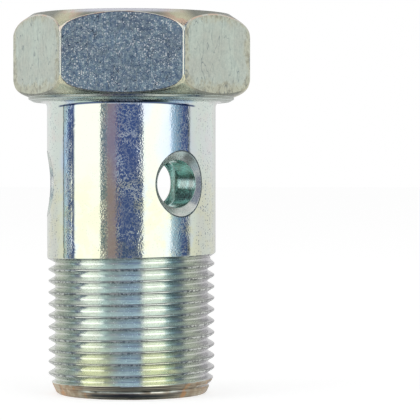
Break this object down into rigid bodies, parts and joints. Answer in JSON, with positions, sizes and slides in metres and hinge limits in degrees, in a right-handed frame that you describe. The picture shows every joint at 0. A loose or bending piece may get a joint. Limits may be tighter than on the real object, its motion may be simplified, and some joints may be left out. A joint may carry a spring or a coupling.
{
  "type": "banjo bolt",
  "caption": "Hexagon-head hollow bolt with a blind axial bore, radial cross holes and a fine thread, which clamps a ring fitting and passes fluid through it.",
  "frame": {"origin": "centre of the threaded end face, on which the bolt stands", "axes": "+Z along the bolt's axis from the threaded end to the head; -Y is normal to one flat of the hexagon"},
  "size_m": [0.031, 0.027, 0.0494],
  "materials": {
    "plated_steel": "zinc plate with a clear yellow-green passivation"
  },
  "bodies": {
    "root": {"banjo_bolt": "plated_steel"}
  },
  "joints": []
}
